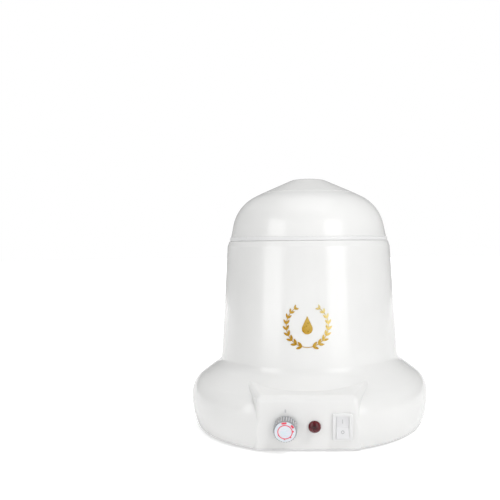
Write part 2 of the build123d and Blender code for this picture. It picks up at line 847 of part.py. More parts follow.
bezel = (15.0, 21.0)
bezel_height = 1.8
bezel_corner = 1.2
bezel_edge = 0.7
switch_body = (12.8, 18.9)
switch_depth = 13.0
switch_floor = 1.7              # thickness of the switch body's back
rocker_width = 9.3
rocker_swing = 8.5              # radius of the rocker's ends about its pivot
rocker_tilt = 20.0
rocker_face = 1.0
rocker_gap = 0.15               # around the rocker and at the ends of its axle
axle_radius = 0.8
axle_reach = rocker_width / 2 + 1.1
# side view of the rocker: x runs up the panel, y outward
rocker_plane = Plane(on_panel(switch_x, 0, 0), x_dir=panel.y_dir, z_dir=(1, 0, 0))
with BuildPart() as switch_frame:
    with BuildSketch(panel.offset(seat_gap)):
        with Locations((switch_x, 0)):
            RectangleRounded(*bezel, bezel_corner)
    extrude(amount=bezel_height)
    bezel_front = switch_frame.faces().sort_by(lambda f: f.center().dot(panel.z_dir))[-1]
    fillet(bezel_front.edges(), bezel_edge)
    with BuildSketch(panel.offset(seat_gap)):
        with Locations((switch_x, 0)):
            Rectangle(*switch_body)
    extrude(amount=-switch_depth)
    with BuildSketch(panel.offset(bezel_height + overrun)):
        with Locations((switch_x, 0)):
            Rectangle(rocker_width + 2 * rocker_gap, 2 * (rocker_swing + rocker_gap))
    extrude(amount=switch_floor - switch_depth - bezel_height - overrun, mode=Mode.SUBTRACT)
    with BuildSketch(rocker_plane):
        Circle(axle_radius + run_gap)
    extrude(amount=axle_reach + rocker_gap, both=True, mode=Mode.SUBTRACT)
finish(switch_frame, "switch_frame")

tilt = radians(rocker_tilt)
rocker_under = 3.0              # depth of its flat underside below the pivot
upper_end = sqrt(rocker_swing**2 - rocker_face**2)
under_end = sqrt(rocker_swing**2 - rocker_under**2)
# length of the slanted lower half, from the knee to the swing circle
lower_drop = rocker_face * sin(tilt)
lower_run = sqrt(lower_drop**2 + rocker_swing**2 - rocker_face**2) - lower_drop
with BuildPart() as switch_rocker:
    with BuildSketch(rocker_plane):
        with BuildLine():
            top_corner = (upper_end, rocker_face)
            low_corner = (-lower_run * cos(tilt), rocker_face + lower_run * sin(tilt))
            Polyline(low_corner, (0, rocker_face), top_corner)
            ThreePointArc(top_corner, (rocker_swing, 0), (under_end, -rocker_under))
            Line((under_end, -rocker_under), (-under_end, -rocker_under))
            ThreePointArc((-under_end, -rocker_under), (-rocker_swing, 0), low_corner)
        make_face()
    extrude(amount=rocker_width / 2, both=True)
    with BuildSketch(rocker_plane):
        Circle(axle_radius)
    extrude(amount=axle_reach, both=True)
finish(switch_rocker, "switch_rocker")

slanted = Plane(
    on_panel(switch_x, 0, rocker_face),
    x_dir=(1, 0, 0),
    z_dir=panel.z_dir.rotate(Axis.X, -rocker_tilt),
)
bar_up = 4.4
bar_length = 3.2
ring_down = 3.6
ring_mark_radius = 1.25
mark_line = 0.5
with BuildPart() as rocker_marks:
    with BuildSketch(panel.offset(rocker_face + print_gap)):
        with Locations((switch_x, bar_up)):
            Rectangle(mark_line, bar_length)
    extrude(amount=print_height)
    with BuildSketch(slanted.offset(print_gap)):
        with Locations((0, -ring_down)):
            Circle(ring_mark_radius)
            Circle(ring_mark_radius - mark_line, mode=Mode.SUBTRACT)
    extrude(amount=print_height)
finish(rocker_marks, "rocker_marks")

switch_tab_up = 4.5
with BuildPart() as switch_terminals:
    with BuildSketch(panel.offset(-switch_depth - seat_gap)):
        with Locations((switch_x, switch_tab_up), (switch_x, -switch_tab_up)):
            Rectangle(*tab_size)
    extrude(amount=-tab_reach)
finish(switch_terminals, "switch_terminals")


# ---------------------------------------------------------------- mains entry

block_size = (30.0, 16.0, 14.0)
block_z = plate_top_z + seat_gap
way_pitch = (10, 8)
way_count = (3, 2)
way_radius = 2.0
way_depth = 8.0
way_screw_height = 4.5
way_screw_slot = 0.5            # depth of the screwdriver slot
block_edge = 1.0
with BuildPart() as terminal_block:
    with Locations((*block_place, block_z)):
        Box(*block_size, align=standing)
    with Locations((*block_place, block_z + block_size[2])):
        with GridLocations(*way_pitch, *way_count):
            Hole(way_radius, depth=way_depth)
    chamfer(terminal_block.edges().group_by(Axis.Z)[-1].filter_by(GeomType.LINE), block_edge)
finish(terminal_block, "terminal_block")

with BuildPart() as block_screws:
    with Locations((*block_place, block_z + block_size[2] - way_depth + fit_gap)):
        with GridLocations(*way_pitch, *way_count):
            Cylinder(way_radius - fit_gap, way_screw_height, align=standing)
            with Locations((0, 0, way_screw_height)):
                Box(2 * way_radius, drive_slot, 2 * way_screw_slot, mode=Mode.SUBTRACT)
finish(block_screws, "block_screws")

clamp_width = 8.0
clamp_strap = 2.5
clamp_screw_length = 11.0
clamp_head_radius = 2.9
clamp_head_height = 1.6
clamp_low_z = plate_top_z + clamp_post_height
clamp_top_z = clamp_low_z + 2 * cord_radius + seat_gap + clamp_strap
with BuildPart() as cord_clamp:
    with Locations((0, clamp_y, clamp_low_z + 2 * cord_radius + seat_gap)):
        Box(2 * clamp_reach + clamp_width, clamp_width, clamp_strap, align=standing)
    for side in (-1, 1):
        with Locations((side * clamp_reach, clamp_y, clamp_low_z + seat_gap)):
            Box(clamp_width, clamp_width, 2 * cord_radius + clamp_strap / 2, align=standing)
        with Locations((side * clamp_reach, clamp_y, clamp_top_z)):
            Hole(screw_radius + fit_gap, depth=clamp_top_z - clamp_low_z + overrun)
finish(cord_clamp, "cord_clamp")

clamp_screw = screw(clamp_screw_length, clamp_head_radius, clamp_head_height)
with BuildPart() as clamp_screws:
    for side in (-1, 1):
        with Locations((side * clamp_reach, clamp_y, clamp_top_z + seat_gap)):
            add(clamp_screw)
finish(clamp_screws, "clamp_screws")

relief_length = 16.0
relief_grooves = 4
relief_pitch = 2.8
relief_start = 4.4              # first groove, from the grommet's outer flange
relief_core = cord_radius + 1.0
relief_groove = 1.0             # width of a groove
relief_root = grommet_hole + 0.2
relief_tip = cord_radius + 1.1
flange_thickness = 2.0
flange_slope = 0.6              # from the flange's edge down to the relief's root
wall_seat = 1.7                 # the curved wall takes this much more than its thickness
flange_outer = grommet_hole + 1.6
flange_inner = grommet_hole + 1.2
sleeve_bore = cord_radius + run_gap
sleeve_radius = grommet_hole - fit_gap
outside = base_radius + loose_gap           # outer face of the shell wall, with room to spare
inside = outside - wall - wall_seat
with BuildPart() as cord_grommet:
    # y along the cord, z its radius above the grommet's axis
    with BuildSketch(Plane((0, 0, grommet_z), x_dir=(0, 1, 0), z_dir=(1, 0, 0))):
        with BuildLine():
            Polyline(
                (inside - flange_thickness, sleeve_bore),
                (inside - flange_thickness, flange_inner),
                (inside, flange_inner),
                (inside, sleeve_radius),
                (outside, sleeve_radius),
                (outside, flange_outer),
                (outside + flange_thickness, flange_outer),
                (outside + flange_thickness + flange_slope, relief_root),
                (outside + relief_length, relief_tip),
                (outside + relief_length, sleeve_bore),
                close=True,
            )
        make_face()
    revolve(axis=Axis((0, 0, grommet_z), (0, 1, 0)))
    for groove in range(relief_grooves):
        groove_y = outside + relief_start + groove * relief_pitch
        with BuildSketch(Plane((0, groove_y, grommet_z), z_dir=(0, 1, 0))):
            Circle(flange_outer)
            Circle(relief_core, mode=Mode.SUBTRACT)
        extrude(amount=relief_groove, mode=Mode.SUBTRACT)
finish(cord_grommet, "cord_grommet")


clamp_centre = clamp_low_z + cord_radius + seat_gap / 2
corners = ((1, -1), (1, 1), (-1, 1), (-1, -1))
coil = [
    (
        corners[step % 4][0] * hank_end,
        hank_y + corners[step % 4][1] * hank_side,
        hank_z + hank_pitch * step / 4,
    )
    for step in range(4 * hank_turns + 3)
]
low_strand = hank_z - 0.7
plug_entry_x = plug_place[0] - plug_rear
# from the clamp through the grommet, down to the table, around the hank and into the plug
cord_points = [
    (0, clamp_y - 18, clamp_centre),
    (0, clamp_y + 8, clamp_centre),
    (0, clamp_y + 22, grommet_z),
    (0, outside + relief_length + 6, grommet_z),
    (8, outside + relief_length + 12, low_strand),
    (26, hank_y - hank_side, low_strand),
    *coil,
    (plug_entry_x - 16, hank_y - 12, plug_place[2] + 6),
    (plug_entry_x - 16, plug_place[1], plug_place[2]),
    (plug_entry_x + cord_in_plug, plug_place[1], plug_place[2]),
]
hank_bends = [hank_side - fit_gap] * (len(coil) - 1)
cord_bends = [14, 14, 6, 6, 14] + hank_bends + [9, 6, 11]
with BuildPart() as power_cord:
    with BuildLine():
        cord_run = FilletPolyline(*cord_points, radius=cord_bends)
    with BuildSketch(Plane(cord_run @ 0, z_dir=cord_run % 0)):
        Circle(cord_radius)
    sweep(path=cord_run)
finish(power_cord, "power_cord")

tie_gap = 0.3
tie_sheet = 0.8
tie_corner = 2.8                # inside radius
tie_half_width = 2.5
tie_low = hank_z - cord_radius - tie_gap
tie_high = hank_z + hank_pitch * (hank_turns + 0.4) + cord_radius + tie_gap
tie_span = 2 * (hank_side + cord_radius + tie_gap)
with BuildPart() as cord_tie:
    with BuildSketch(Plane.YZ):
        with Locations((hank_y, (tie_low + tie_high) / 2)):
            RectangleRounded(
                tie_span + 2 * tie_sheet, tie_high - tie_low + 2 * tie_sheet, tie_corner + tie_sheet
            )
            RectangleRounded(tie_span, tie_high - tie_low, tie_corner, mode=Mode.SUBTRACT)
    extrude(amount=tie_half_width, both=True)
finish(cord_tie, "cord_tie")

plug_width = 35.0
plug_thickness = 13.6
plug_rounding = 0.42            # corner radius, in thicknesses
# sections from the pin face back to the cord entry: place, width, thickness
plug_sections = (
    (plug_front, plug_width, plug_thickness),
    (plug_front - 9, plug_width, plug_thickness),
    (-plug_rear + 8, 13, 11),
    (-plug_rear, 9.5, 9.5),
)
plug_axis = Plane(plug_place, x_dir=(0, 1, 0), z_dir=(1, 0, 0))
with BuildPart() as plug_body:
    for along, width, thickness in plug_sections:
        with BuildSketch(plug_axis.offset(along)):
            RectangleRounded(width, thickness, thickness * plug_rounding)
    loft(ruled=True)
    with BuildSketch(plug_axis.offset(-plug_rear)):
        Circle(cord_radius + seat_gap)
    extrude(amount=cord_in_plug + overrun, mode=Mode.SUBTRACT)
finish(plug_body, "plug_body")

pin_radius = 2.0
pin_spacing = 19.0
pin_length = 19.0
pin_tip = 1.4                   # rounding of the pin's end
with BuildPart() as plug_pins:
    with BuildSketch(plug_axis.offset(plug_front + seat_gap)):
        with Locations((-pin_spacing / 2, 0), (pin_spacing / 2, 0)):
            Circle(pin_radius)
    extrude(amount=pin_length)
    fillet(plug_pins.edges().group_by(Axis.X)[-1], pin_tip)
finish(plug_pins, "plug_pins")


# ---------------------------------------------------------------- internal wires

wire_radius_inside = 0.9
tab_end = -tab_reach - 1.5      # a wire stops just short of its tab
switch_back = -switch_depth + tab_end
switch_up = on_panel(switch_x, switch_tab_up, switch_back)
switch_low = on_panel(switch_x, -switch_tab_up, switch_back)
stat_left = on_panel(knob_x - stat_tab_across, stat_tab_up, thermostat_back + tab_end)
stat_right = on_panel(knob_x + stat_tab_across, stat_tab_up, thermostat_back + tab_end)
block_entry_z = block_z + 4.0
block_front = block_place[1] - block_size[1] / 2 - 0.6
band_lead = Vector(9.6, 49.4, 104)
band_return = Vector(-9.6, 49.4, 104)
fuse_front = Vector(fuse_x, -fuse_half_length - loose_gap, fuse_z)
fuse_rear = Vector(fuse_x, fuse_half_length + loose_gap, fuse_z)
wire_runs = (
    # block to switch
    ((-10, block_front, block_entry_z), (-12, 0, 12), (0, -40, 30), switch_up + Vector(0, 8, 2), switch_up),
    # switch to thermostat
    (switch_low, switch_low + Vector(-4, 8, 0), (4, -58, 14), stat_right + Vector(3, 8, 1), stat_right),
    # thermostat to fuse
    (stat_left, stat_left + Vector(0, 10, 4), (-10, -40, 44), fuse_front - Vector(0, 13.6, 0), fuse_front),
    # fuse to heater band
    (fuse_rear, fuse_rear + Vector(4, 13.6, 0), (10, 52, 68), (-10, 61, 90), band_return),
    # block to heater band
    ((10, block_front, block_entry_z), (24, 10, 30), (36, 34, 50), (24, 58, 74), (10, 61, 98), band_lead),
)
with BuildPart() as internal_wires:
    for points in wire_runs:
        with BuildLine():
            run = Spline(*points)
        with BuildSketch(Plane(run @ 0, z_dir=run % 0)):
            Circle(wire_radius_inside)
        sweep(path=run)
finish(internal_wires, "internal_wires")


# ---------------------------------------------------------------- emblem: a wreath around a drop

emblem_z = 91.0
wreath_radius = 16.3
leaf_length = 5.2
leaf_width = 2.0
foil = 0.2
stem_width = 0.5
stem_arc = 150                  # angle each stem runs up from the wreath's foot
drop_radius = 4.2
drop_low = -2.2                 # middle of its round bowl
drop_tip = 7.6
emblem_half = 25.0              # more than the height of the emblem's half
emblem_inset = 20.0             # the emblem is cut from a plane this far inside the wall
leaf_pairs = 9
leaf_spread = 32
leaf_shrink = 0.035             # each pair is this much smaller than the one below
wreath_open = 14                # angle between the foot of the wreath and its first leaves
leaf_step = 16


def leaf(length, width):
    """Pointed leaf along +X from the origin."""
    with BuildSketch() as made:
        with BuildLine():
            ThreePointArc((0, 0), (length / 2, width / 2), (length, 0))
            ThreePointArc((length, 0), (length / 2, -width / 2), (0, 0))
        make_face()
    return made.sketch


with BuildPart() as foil_skin:
    with BuildSketch(Plane.XZ):
        with BuildLine():
            low, high = emblem_z - emblem_half, emblem_z + emblem_half
            Polyline(
                (body_wall_radius(low, -seat_gap), low),
                (body_wall_radius(low, -seat_gap - foil), low),
                (body_wall_radius(high, -seat_gap - foil), high),
                (body_wall_radius(high, -seat_gap), high),
                close=True,
            )
        make_face()
    revolve(axis=Axis.Z)

leaves = []
for step in range(leaf_pairs):
    scale_down = 1 - leaf_shrink * step
    leaves.append(leaf(leaf_length * scale_down, leaf_width * scale_down))
emblem_plane = Plane((0, emblem_inset - body_radius, emblem_z), x_dir=(1, 0, 0), z_dir=(0, -1, 0))
with BuildPart() as front_emblem:
    with BuildSketch(emblem_plane):
        with BuildLine():
            # drop: straight sides that meet the round bowl smoothly
            side_angle = degrees(acos(drop_radius / (drop_tip - drop_low)))
            bowl = CenterArc((0, drop_low), drop_radius, 90 + side_angle, 360 - 2 * side_angle)
            Polyline(bowl @ 0, (0, drop_tip), bowl @ 1)
        make_face()
        for side in (-1, 1):
            with BuildLine():
                stem = CenterArc((0, 0), wreath_radius, 270, side * stem_arc)
            trace(stem, line_width=stem_width)
            for step in range(leaf_pairs):
                angle = 270 + side * (wreath_open + leaf_step * step)
                place = (wreath_radius * cos(radians(angle)), wreath_radius * sin(radians(angle)))
                for spread in (-leaf_spread, leaf_spread):
                    with Locations(Location(place, angle + side * 90 + spread)):
                        add(leaves[step])
    extrude(amount=2 * emblem_inset)
    add(foil_skin.part, mode=Mode.INTERSECT)
finish(front_emblem, "front_emblem")
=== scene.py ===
"""Looks for the wax heater: materials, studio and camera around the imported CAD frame, in metres."""

import json
import math

import bmesh
import bpy
from mathutils import Matrix, Vector


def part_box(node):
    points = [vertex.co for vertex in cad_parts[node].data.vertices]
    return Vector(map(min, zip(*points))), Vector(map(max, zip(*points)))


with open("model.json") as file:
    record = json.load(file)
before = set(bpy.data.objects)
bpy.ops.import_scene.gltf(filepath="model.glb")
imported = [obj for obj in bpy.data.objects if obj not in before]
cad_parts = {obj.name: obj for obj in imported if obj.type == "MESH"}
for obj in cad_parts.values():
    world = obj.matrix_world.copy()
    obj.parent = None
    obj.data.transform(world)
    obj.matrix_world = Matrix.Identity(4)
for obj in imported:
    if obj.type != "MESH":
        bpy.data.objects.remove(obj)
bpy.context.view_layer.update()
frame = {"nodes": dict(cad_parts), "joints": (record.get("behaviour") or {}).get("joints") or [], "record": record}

NODES = frame["nodes"]
SLOT_OF = {subpart["node"]: subpart["material_slot"] for subpart in frame["record"]["subparts"]}
KNOB_LOW, KNOB_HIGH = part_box("thermostat_knob")
KNOB_RADIUS = (KNOB_HIGH.x - KNOB_LOW.x) / 2
BELL_AXIS = ((0, 0, 0), (0, 0, 1))      # a point on it and its direction

# colours, linear red, green and blue
WHITE = (1.0, 1.0, 1.0)
SHELL_WHITE = (0.86, 0.86, 0.85)
TRIM_WHITE = (0.83, 0.83, 0.83)
SWITCH_WHITE = (0.84, 0.84, 0.84)
ROCKER_WHITE = (0.80, 0.80, 0.81)
CORD_WHITE = (0.80, 0.80, 0.79)
PLATE_GREY = (0.72, 0.72, 0.72)
STRAP_BLACK = (0.05, 0.05, 0.05)
RUBBER_BLACK = (0.03, 0.03, 0.032)
RUBBER_DUST = (0.12, 0.115, 0.11)
PHENOLIC_BROWN = (0.03, 0.024, 0.02)
PHENOLIC_SPECK = (0.1, 0.07, 0.05)
SCREW_STEEL = (0.62, 0.62, 0.64)
WIRE_STEEL = (0.70, 0.70, 0.72)
WELL_ALUMINIUM = (0.76, 0.77, 0.78)
POT_ALUMINIUM = (0.82, 0.83, 0.84)
BRASS = (0.72, 0.56, 0.25)
NICKEL = (0.72, 0.70, 0.66)
MICA = (0.62, 0.56, 0.46)
GLASS_FIBRE_DARK = (0.55, 0.48, 0.33)
GLASS_FIBRE_LIGHT = (0.86, 0.82, 0.7)
KNOB_BLUE = (0.72, 0.82, 0.88)
KNOB_MILK = (0.84, 0.83, 0.90)
# painted shade on the knob's ribbed side: dark grey in the rib valleys, lighter grey on the crests
RIB_VALLEY_SHADE = (0.30, 0.30, 0.31)
RIB_CREST = (0.60, 0.60, 0.62)
LENS_MIDDLE = (0.036, 0.003, 0.006)
LENS_RIM = (0.15, 0.004, 0.012)
NEON_GLASS = (0.95, 0.82, 0.7)
SHEATH_BROWN = (0.16, 0.05, 0.02)
SHEATH_BLUE = (0.02, 0.07, 0.35)
SHEATH_RED = (0.35, 0.02, 0.02)
SHEATH_SCUFF = (0.4, 0.35, 0.3)
SCALE_RED = (0.86, 0.05, 0.10)
SCALE_RED_WORN = (0.88, 0.22, 0.26)
INDEX_GREY = (0.58, 0.58, 0.59)
INDEX_GREY_WORN = (0.70, 0.70, 0.70)
MARK_GREY = (0.50, 0.50, 0.51)
MARK_GREY_WORN = (0.6, 0.6, 0.6)
# gold foil with painted light: painted shade at the emblem's lower left, a painted highlight at its upper right
GOLD_SHADE_TO_HIGHLIGHT = [
    (0.0, (0.43, 0.22, 0.008)),
    (0.4, (0.60, 0.34, 0.03)),
    (0.7, (0.78, 0.56, 0.14)),
    (1.0, (0.92, 0.82, 0.42)),
]
GOLD_HIGHLIGHT_ACROSS = 0.62              # how much of the run goes across; the rest goes up
PAPER_DARK = (0.89, 0.89, 0.89)
PAPER_LIGHT = (0.92, 0.92, 0.92)

# darkest tone of a surface, as a share of its colour
PLASTIC_DRIFT = 0.965
METAL_STAIN = 0.82
SPUN_STAIN = 0.86
COAT_ROUGHNESS = 0.12           # of the clear gloss over a plastic
NOISE_RANGE = (0.3, 0.7)        # where most of a noise texture's values lie
MIX_INPUTS = (0, 6, 7)          # the Mix node's factor and its two colours
MIX_RESULT = 2                  # its blended colour

# places on the knob and the lens, from their axes
KNOB_CAP_EDGE = (KNOB_RADIUS - 0.0011, KNOB_RADIUS - 0.0007)
RIB_DEPTH = (KNOB_RADIUS - 0.0005, KNOB_RADIUS)
LENS_SHADE = (0.0004, 0.0040)


# ---------------------------------------------------------------- shader helpers

class Shader:
    """A Principled material with short calls for the procedural nodes that feed it."""

    def __init__(self, name):
        self.material = bpy.data.materials.new(name)
        self.material.use_nodes = True
        self.tree = self.material.node_tree
        self.bsdf = self.tree.nodes["Principled BSDF"]
        self.position = self.add("ShaderNodeTexCoord").outputs["Object"]

    def add(self, kind, **settings):
        node = self.tree.nodes.new(kind)
        for key, value in settings.items():
            setattr(node, key, value)
        return node

    def link(self, source, target):
        self.tree.links.new(source, target)

    def feed(self, target, value):
        """Give an input another node's output or a constant; a colour has three numbers."""
        if isinstance(value, bpy.types.NodeSocket):
            self.link(value, target)
        elif target.type == "RGBA":
            target.default_value = (*value, 1.0)
        else:
            target.default_value = value

    def put(self, socket, value):
        """Feed a socket of the Principled node."""
        self.feed(self.bsdf.inputs[socket], value)

    def noise(self, scale, detail=3.0, roughness=0.5, vector=None, stretch=None):
        """Noise texture; scale is in features per metre, stretch squeezes it along an axis."""
        source = self.position if vector is None else vector
        if stretch is not None:
            mapping = self.add("ShaderNodeMapping")
            mapping.inputs["Scale"].default_value = stretch
            self.link(source, mapping.inputs["Vector"])
            source = mapping.outputs["Vector"]
        node = self.add("ShaderNodeTexNoise")
        node.inputs["Scale"].default_value = scale
        node.inputs["Detail"].default_value = detail
        node.inputs["Roughness"].default_value = roughness
        self.link(source, node.inputs["Vector"])
        return node.outputs["Fac"]

    def ramp(self, factor, stops, interpolation="LINEAR"):
        """Colour ramp from (position, colour) stops."""
        node = self.add("ShaderNodeValToRGB")
        node.color_ramp.interpolation = interpolation
        elements = node.color_ramp.elements
        while len(elements) < len(stops):
            elements.new(0.5)
        for element, (place, colour) in zip(elements, stops):
            element.position = place
            element.color = (*colour, 1.0)
        self.link(factor, node.inputs["Fac"])
        return node.outputs["Color"]

    def span(self, factor, low, high, from_low=0.0, from_high=1.0):
        """Map a value onto low..high."""
        node = self.add("ShaderNodeMapRange")
        node.inputs["From Min"].default_value = from_low
        node.inputs["From Max"].default_value = from_high
        node.inputs["To Min"].default_value = low
        node.inputs["To Max"].default_value = high
        self.link(factor, node.inputs["Value"])
        return node.outputs["Result"]

    def share(self, factor, low, high):
        """How far a value has come from low to high, as 0 to 1."""
        return self.span(factor, 0.0, 1.0, low, high)

    def math(self, operation, first, second):
        node = self.add("ShaderNodeMath", operation=operation)
        for index, value in enumerate((first, second)):
            self.feed(node.inputs[index], value)
        return node.outputs["Value"]

    def mix(self, factor, first, second):
        """Blend two colours."""
        node = self.add("ShaderNodeMix", data_type="RGBA")
        for index, value in zip(MIX_INPUTS, (factor, first, second)):
            self.feed(node.inputs[index], value)
        return node.outputs[MIX_RESULT]

    def bump(self, height, microns):
        """Feed a height into the normal; microns is its depth."""
        node = self.add("ShaderNodeBump")
        node.inputs["Distance"].default_value = microns / 1e6
        node.inputs["Strength"].default_value = 1.0
        self.link(height, node.inputs["Height"])
        self.put("Normal", node.outputs["Normal"])

    def radius_from(self, centre, axis):
        """Distance of the shaded point from a line through centre along axis."""
        offset = self.add("ShaderNodeVectorMath", operation="SUBTRACT")
        self.link(self.position, offset.inputs[0])
        offset.inputs[1].default_value = centre
        cross = self.add("ShaderNodeVectorMath", operation="CROSS_PRODUCT")
        self.link(offset.outputs["Vector"], cross.inputs[0])
        cross.inputs[1].default_value = axis
        length = self.add("ShaderNodeVectorMath", operation="LENGTH")
        self.link(cross.outputs["Vector"], length.inputs[0])
        return length.outputs["Value"]

    def coordinate(self, axis):
        """The shaded point's place along X, Y or Z."""
        split = self.add("ShaderNodeSeparateXYZ")
        self.link(self.position, split.inputs["Vector"])
        return split.outputs[axis]


def darkened(colour, share):
    return tuple(channel * share for channel in colour)


def moulded_plastic(name, colour, roughness, coat=0.0, grain=20, grain_scale=900.0):
    """Injection-moulded plastic: faint tone drift, uneven gloss and a skin texture grain microns deep."""
    s = Shader(name)
    drift = s.noise(18.0, 3.0)
    s.put("Base Color", s.ramp(drift, [(0.3, darkened(colour, PLASTIC_DRIFT)), (0.7, colour)]))
    smudge = s.noise(55.0, 5.0, 0.6)
    s.put("Roughness", s.span(smudge, roughness * 0.8, roughness * 1.3, *NOISE_RANGE))
    s.put("Specular IOR Level", 0.5)
    s.put("Coat Weight", coat)
    s.put("Coat Roughness", COAT_ROUGHNESS)
    s.bump(s.noise(grain_scale, 2.0), grain)
    return s


def white_shell(name):
    """Glossy white plastic that lets a little light in."""
    s = moulded_plastic(name, SHELL_WHITE, 0.16, coat=0.35, grain=12, grain_scale=420.0)
    s.put("Subsurface Weight", 0.08)
    s.put("Subsurface Radius", (0.004, 0.004, 0.004))
    return s


def foot_rubber(name):
    """Black rubber, dusty in places."""
    s = moulded_plastic(name, RUBBER_BLACK, 0.75, grain=80, grain_scale=1200.0)
    dust = s.noise(260.0, 6.0, 0.7)
    s.put("Base Color", s.ramp(dust, [(0.45, RUBBER_BLACK), (0.75, RUBBER_DUST)]))
    return s


def metal(name, colour, roughness, scratch=(1.0, 1.0, 1.0)):
    """Bare metal with directional scratches; scratch squeezes the pattern along an axis."""
    s = Shader(name)
    lines = s.noise(700.0, 4.0, 0.6, stretch=scratch)
    stain = s.noise(40.0, 4.0)
    s.put("Base Color", s.ramp(stain, [(0.35, darkened(colour, METAL_STAIN)), (0.65, colour)]))
    s.put("Metallic", 1.0)
    s.put("Roughness", s.span(lines, roughness * 0.7, roughness * 1.4, *NOISE_RANGE))
    s.bump(lines, 15)
    return s


def spun_metal(name, colour, roughness):
    """Spun sheet: fine rings about the bell's axis, seen on walls and floor alike."""
    s = Shader(name)
    rings = s.add("ShaderNodeCombineXYZ")
    s.link(s.radius_from(*BELL_AXIS), rings.inputs["X"])
    s.link(s.coordinate("Z"), rings.inputs["Y"])
    fine = s.noise(2600.0, 3.0, 0.6, vector=rings.outputs["Vector"])
    stain = s.noise(35.0, 4.0)
    s.put("Base Color", s.ramp(stain, [(0.3, darkened(colour, SPUN_STAIN)), (0.7, colour)]))
    s.put("Metallic", 1.0)
    s.put("Roughness", s.span(fine, roughness * 0.75, roughness * 1.35, *NOISE_RANGE))
    s.bump(fine, 20)
    return s


def glass_wool(name):
    """Matt felt of fibres that lie round the wrap."""
    s = Shader(name)
    fibres = s.noise(500.0, 8.0, 0.75, stretch=(1.0, 1.0, 5.0))
    s.put("Base Color", s.ramp(fibres, [(0.35, GLASS_FIBRE_DARK), (0.65, GLASS_FIBRE_LIGHT)]))
    s.put("Roughness", 0.95)
    s.put("Sheen Weight", 0.4)
    s.bump(fibres, 600)
    return s


def phenolic(name):
    """Dark moulding compound with pale specks of filler."""
    s = moulded_plastic(name, PHENOLIC_BROWN, 0.45, grain=50)
    speck = s.noise(900.0, 2.0)
    s.put("Base Color", s.ramp(speck, [(0.55, PHENOLIC_BROWN), (0.75, PHENOLIC_SPECK)]))
    return s


def dial_frame():
    """Centre and outward direction of the thermostat knob, from its joint."""
    joint = next(j for j in frame["joints"] if j["name"] == "knob_turn")
    return Vector(joint["pos_m"]), Vector(joint["axis"]).normalized()


def knob_translucent(name):
    """Milky plastic: a pale, faintly blue face and a greyer ribbed side, its grey partly the plastic's own and
    partly painted shade, with painted shade deepening in the rib valleys.
    """
    centre, axis = dial_frame()
    s = Shader(name)
    radius = s.radius_from(centre, axis)
    cloud = s.noise(420.0, 4.0, 0.6)
    face = s.mix(s.share(cloud, 0.35, 0.65), KNOB_BLUE, KNOB_MILK)
    side = s.share(radius, *KNOB_CAP_EDGE)
    crest = s.share(radius, *RIB_DEPTH)
    # painted shade: the ribs go darker towards their valleys
    shaded_rib = s.mix(crest, RIB_VALLEY_SHADE, RIB_CREST)
    s.put("Base Color", s.mix(side, face, shaded_rib))
    s.put("Roughness", s.span(s.noise(600.0, 3.0), 0.22, 0.36))
    s.put("IOR", 1.49)
    s.put("Subsurface Weight", 0.15)
    s.put("Subsurface Radius", (0.002, 0.003, 0.004))
    s.bump(s.noise(1800.0, 2.0), 10)
    return s


def print_ink(name, colour, worn):
    """Pad-printed ink with slightly uneven cover."""
    s = Shader(name)
    cover = s.noise(2600.0, 5.0, 0.7)
    s.put("Base Color", s.ramp(cover, [(0.32, worn), (0.5, colour)]))
    s.put("Roughness", 0.45)
    s.bump(cover, 10)
    return s


def lens_red(name):
    """Dark red pebbled lamp lens, darker towards the middle; it looks the same way as the knob."""
    low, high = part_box("lamp_lens")
    outward = dial_frame()[1]
    centre = Vector(((low.x + high.x) / 2, low.y, (low.z + high.z) / 2))
    s = Shader(name)
    shade = s.share(s.radius_from(centre, outward), *LENS_SHADE)
    s.put("Base Color", s.mix(shade, LENS_MIDDLE, LENS_RIM))
    s.put("Roughness", s.span(s.noise(700.0, 2.0), 0.16, 0.26))
    s.put("Transmission Weight", 0.15)
    cells = s.add("ShaderNodeTexVoronoi")
    cells.inputs["Scale"].default_value = 900.0
    s.link(s.position, cells.inputs["Vector"])
    s.bump(cells.outputs["Distance"], 120)
    return s


def neon_glass(name):
    """Clear glass with a warm tint."""
    s = Shader(name)
    s.put("Base Color", NEON_GLASS)
    s.put("Transmission Weight", 0.9)
    s.put("Roughness", s.span(s.noise(300.0), 0.02, 0.08))
    return s


def cord_pvc(name):
    """Soft white sheath with a faint bloom."""
    s = moulded_plastic(name, CORD_WHITE, 0.42, grain=40, grain_scale=700.0)
    s.put("Sheen Weight", 0.15)
    return s


def wire_pvc(name):
    """Thin sheaths in three colours, one to a wire."""
    s = Shader(name)
    island = s.add("ShaderNodeNewGeometry").outputs["Random Per Island"]
    sheath = s.ramp(island, [(0.0, SHEATH_BROWN), (0.35, SHEATH_BLUE), (0.7, SHEATH_RED)], "CONSTANT")
    s.put("Base Color", s.mix(s.span(s.noise(400.0), 0.0, 0.3), sheath, SHEATH_SCUFF))
    s.put("Roughness", 0.4)
    s.bump(s.noise(900.0), 30)
    return s


def gold_foil(name):
    """Hot-stamped gold foil, painted deep at the lower left as shade and pale at the upper right as a highlight.
    """
    low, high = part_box("front_emblem")
    s = Shader(name)
    across = s.math("MULTIPLY", s.share(s.coordinate("X"), low.x, high.x), GOLD_HIGHLIGHT_ACROSS)
    up = s.math("MULTIPLY", s.share(s.coordinate("Z"), low.z, high.z), 1 - GOLD_HIGHLIGHT_ACROSS)
    crinkle = s.noise(420.0, 5.0, 0.6)
    # painted light: deep gold as shade at the lower left, pale gold as a highlight at the upper right, with a
    # little crinkle
    lit_and_crinkled = s.math("ADD", s.math("ADD", across, up), s.span(crinkle, -0.06, 0.06, *NOISE_RANGE))
    s.put("Base Color", s.ramp(lit_and_crinkled, GOLD_SHADE_TO_HIGHLIGHT))
    s.put("Metallic", 0.45)
    s.put("Roughness", s.span(crinkle, 0.22, 0.42, *NOISE_RANGE))
    s.bump(crinkle, 30)
    return s


